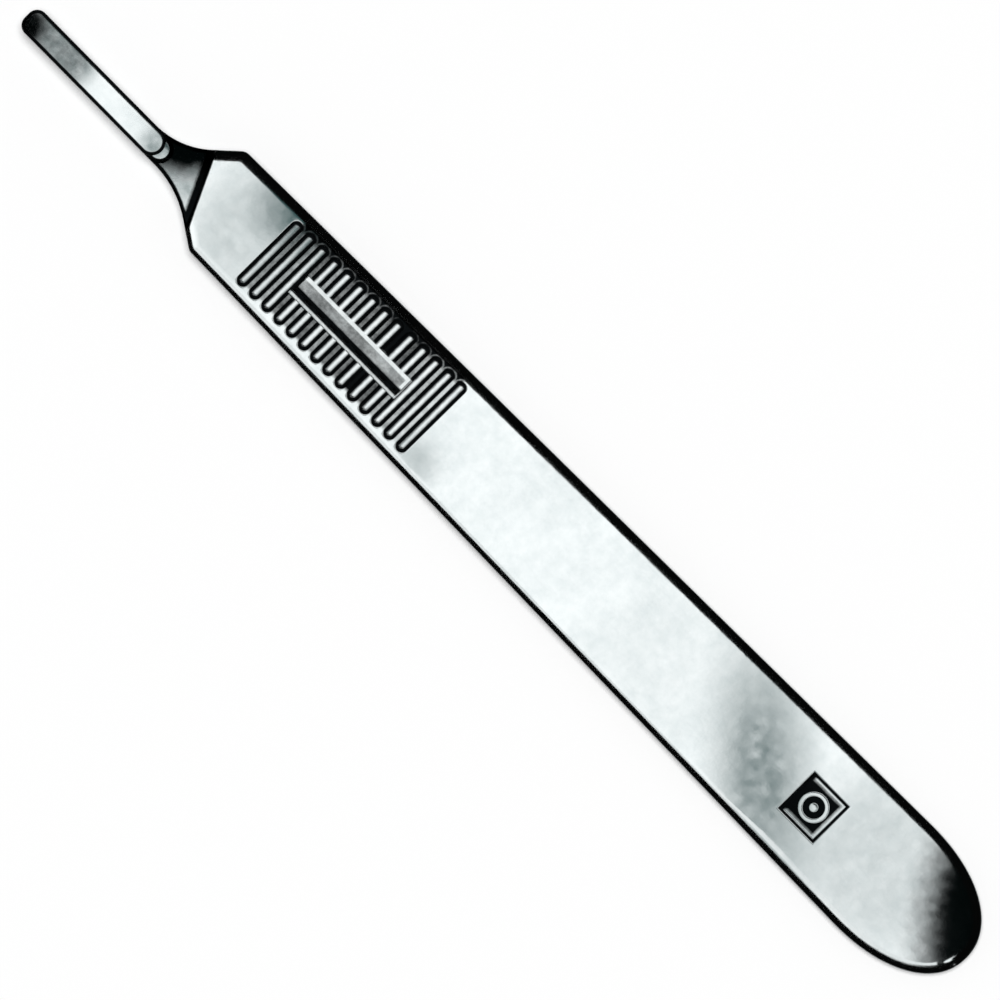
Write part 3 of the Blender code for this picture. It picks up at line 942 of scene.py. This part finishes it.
def addFloor():
    bpy.ops.mesh.primitive_plane_add(size=studio["floorSize"] * mm, location=(0, 0, 0))
    floor = bpy.context.object
    floor.name = "floor"
    floor.data.materials.append(plainMaterial("whiteTable", studio["floorColour"]))


def addSoftbox():
    corners = [(x, y, studio["softHeight"]) for x, y in studio["softCorners"]]
    addSheet("softbox", corners, [tuple(range(len(corners)))],
             glowMaterial("softboxCloth", (1, 1, 1, 1), studio["softLevel"]))


def addFlags():
    corners = [(-1, -1, 0), (1, -1, 0), (1, 1, 0), (-1, 1, 0)]
    for name, (x, y, height, halfX, halfY, turn, dark, soft) in studio["flags"].items():
        material = bpy.data.materials.new(name)
        links, node, ranged, maths = nodeKit(material)
        material.node_tree.nodes.clear()
        away = node("ShaderNodeVectorMath", {"operation": "LENGTH"})
        links.new(node("ShaderNodeTexCoord").outputs["Object"], away.inputs[0])
        dapple = node("ShaderNodeTexNoise", (), {"Scale": studio["dappleScale"],
                                                 "Detail": studio["dappleDetail"]})
        links.new(node("ShaderNodeNewGeometry").outputs["Position"], dapple.inputs["Vector"])
        noise, span, fray = dapple.outputs["Fac"], studio["dappleSpan"], soft * studio["fray"]
        frayed = maths("ADD", away.outputs["Value"], ranged(noise, *span, -fray, fray))
        cover = ranged(frayed, 1 - soft, 1, dark, 0, "SMOOTHSTEP")
        if dark < 1:
            uneven = ranged(noise, *span, 1 - studio["dapple"], 1 + studio["dapple"])
            cover = maths("MULTIPLY", cover, uneven)
        cloth = node("ShaderNodeEmission", (), {"Color": studio["flagTint"],
                                                "Strength": 1 if dark < 1 else studio["blackCloth"]})
        mix = node("ShaderNodeMixShader")
        links.new(cover, mix.inputs[0])
        links.new(node("ShaderNodeBsdfTransparent").outputs[0], mix.inputs[1])
        links.new(cloth.outputs[0], mix.inputs[2])
        links.new(mix.outputs[0], node("ShaderNodeOutputMaterial").inputs["Surface"])
        material.cycles.emission_sampling = "NONE"
        flag = addSheet(name, corners, [(0, 1, 2, 3)], material, 1)  # its cloth goes by corners at 1
        flag.scale = (halfX * mm, halfY * mm, 1)
        setPlace(flag, x, y, height, turn)


def addFill():
    lamp = bpy.data.lights.new("tableFill", "SUN")
    lamp.energy = studio["fillLevel"]
    lamp.angle = math.radians(studio["fillSpread"])
    fill = bpy.data.objects.new("tableFill", lamp)
    tilt = math.radians(studio["fillTilt"])
    fill.rotation_euler = (tilt, tilt, 0)
    fill.visible_glossy = False
    bpy.context.scene.collection.objects.link(fill)


def rampMaterial(name, stops, reach):
    # glow that changes along one value, which the caller links to the returned socket
    material = bpy.data.materials.new(name)
    links, node = nodeKit(material)[:2]
    material.node_tree.nodes.clear()
    share = node("ShaderNodeMapRange", (), {"From Max": reach})
    ramp = node("ShaderNodeValToRGB")
    while len(ramp.color_ramp.elements) < len(stops):
        ramp.color_ramp.elements.new(1)
    for element, (place, level) in zip(ramp.color_ramp.elements, stops):
        element.position = place / reach
        element.color = (level, level, level, 1)
    cloth = node("ShaderNodeEmission")
    links.new(share.outputs["Result"], ramp.inputs["Fac"])
    links.new(ramp.outputs["Color"], cloth.inputs["Color"])
    links.new(cloth.outputs[0], node("ShaderNodeOutputMaterial").inputs["Surface"])
    material.cycles.emission_sampling = "NONE"
    return material, links, node, share.inputs["Value"]


def addTent():
    bpy.ops.mesh.primitive_uv_sphere_add(segments=48, ring_count=24, radius=studio["tentRadius"] * mm)
    tent = bpy.context.object
    tent.name = "tent"
    material, links, node, value = rampMaterial("tentCloth", studio["tentLevels"], 1.0)
    parts = node("ShaderNodeSeparateXYZ")
    unit = node("ShaderNodeVectorMath", {"operation": "NORMALIZE"})
    links.new(node("ShaderNodeTexCoord").outputs["Object"], unit.inputs[0])
    links.new(unit.outputs["Vector"], parts.inputs[0])
    links.new(parts.outputs["Z"], value)
    tent.data.materials.append(material)
    reflectedOnly(tent)


def addCard():
    place = (0, 0, studio["cardHeight"] * mm)
    bpy.ops.mesh.primitive_plane_add(size=studio["cardSize"] * mm, location=place)
    card = bpy.context.object
    card.name = "tableCard"
    levels = studio["cardLevels"]
    material, links, node, value = rampMaterial("cardGlow", levels, levels[-1][0])
    last = node("ShaderNodeTexCoord").outputs["Object"]
    steps = (("ABSOLUTE", {}), ("SUBTRACT", {1: (studio["cardReach"] * mm, 0, 0)}),
             ("MAXIMUM", {1: (0, 0, 0)}), ("SCALE", {"Scale": 1 / mm}), ("LENGTH", {}))
    for operation, values in steps:
        step = node("ShaderNodeVectorMath", {"operation": operation}, values)
        links.new(last, step.inputs[0])
        last = step.outputs[0]
    links.new(step.outputs["Value"], value)
    card.data.materials.append(material)
    reflectedOnly(card)


def addStrip(name, path, rows, material):
    # follows the path; each row gives a distance outward from it and a height, point by point
    along = np.gradient(path, axis=0)
    out = np.stack([along[:, 1], -along[:, 0]], axis=1) / np.hypot(along[:, 0], along[:, 1])[:, None]
    n = len(rows)
    verts, faces = [], []
    for i in range(len(path)):
        verts += [(*(path[i] + out[i] * reach[i]), height[i]) for reach, height in rows]
        if i > 0:
            faces += [(n * i + j - n, n * i + j - n + 1, n * i + j + 1, n * i + j) for j in range(n - 1)]
    addSheet(name, verts, faces, material)


def addGuards():
    # they follow the outline, one along the lower side, one from the tail's end along the upper side
    body = outline[:, 0] > studio["guardFront"]
    tail = outline[:, 0] > halfLength - plan["tailLength"]
    onLow = body & (outline[:, 1] < studio["guardMeet"])
    onHigh = body & ((outline[:, 1] > studio["guardSide"]) | (tail & (outline[:, 1] > studio["guardMeet"])))
    for name, chosen in (("lowGuard", onLow), ("highGuard", onHigh)):
        path = outline[np.flatnonzero(chosen)]
        path = path[np.append(True, np.hypot(*np.diff(path, axis=0).T) > 1e-4)]
        share = smoothStep(*studio["guardFade"], path[:, 0])
        (frontIn, tailIn), (frontOver, tailOver) = studio[name]
        inner = frontIn + (tailIn - frontIn) * share
        face = faceAt(path[:, 0])
        top = face + (frontOver + (tailOver - frontOver) * share)
        outer = np.full(len(path), studio["guardOut"])
        addStrip(name, path, ((-inner, top), (outer, top), (outer, face * studio["guardFoot"])),
                 glowMaterial(name, studio["guardBlack"], 1))


def addRimGlow():
    start, end, over, level, frontIn, tailIn = studio["rimGlow"]
    onTail = outline[:, 0] > halfLength - plan["tailLength"] - studio["rimJoin"]
    count, pitch = studio["rimFront"]
    front = [(x, -sideAt(x)) for x in start + np.arange(count) * pitch]
    path = np.concatenate([front, outline[np.flatnonzero(onTail & (outline[:, 1] < end))]])
    share = smoothStep(start, halfLength, path[:, 0])
    near = frontIn[0] + (tailIn[0] - frontIn[0]) * share
    far = frontIn[1] + (tailIn[1] - frontIn[1]) * share
    point, full = studio["rimTaper"]
    far = near + (far - near) * smoothStep(start + point, start + full, path[:, 0])
    height = faceAt(path[:, 0]) + over
    material = glowMaterial("rimGlow", (1, 1, 1, 1), level)
    addStrip("rimGlow", path, ((-near, height), (-far, height)), material)


def addGlint():
    x, y, height, halfX, halfY, turn = studio["glint"]
    sides = studio["glintSides"]
    ring = [(halfX * math.cos(a), halfY * math.sin(a), 0) for a in np.arange(sides) * math.tau / sides]
    material = glowMaterial("glint", (1, 1, 1, 1), studio["softLevel"])
    setPlace(addSheet("glint", ring, [tuple(range(sides))], material), x, y, height, turn)


def addWorld():
    world = bpy.data.worlds.new("studio")
    world.use_nodes = True
    sky = world.node_tree.nodes["Background"]
    sky.inputs["Color"].default_value = (1, 1, 1, 1)
    sky.inputs["Strength"].default_value = studio["skyLevel"]
    bpy.context.scene.world = world


def addCamera():
    data = bpy.data.cameras.new("camera")
    data.lens = studio["lens"]
    data.sensor_width = studio["sensor"]
    data.clip_end = studio["clipEnd"] * mm
    away = studio["viewSpan"] * studio["lens"] / studio["sensor"]
    camera = bpy.data.objects.new("camera", data)
    setPlace(camera, *studio["centre"], away + studio["faceHeight"], studio["roll"])
    bpy.context.scene.collection.objects.link(camera)
    bpy.context.scene.camera = camera


addFloor()
addSoftbox()
addFlags()
addFill()
addTent()
addCard()
addGuards()
addRimGlow()
addGlint()
addWorld()
addCamera()
bpy.context.scene.view_settings.view_transform = "Standard"
print("studio set")
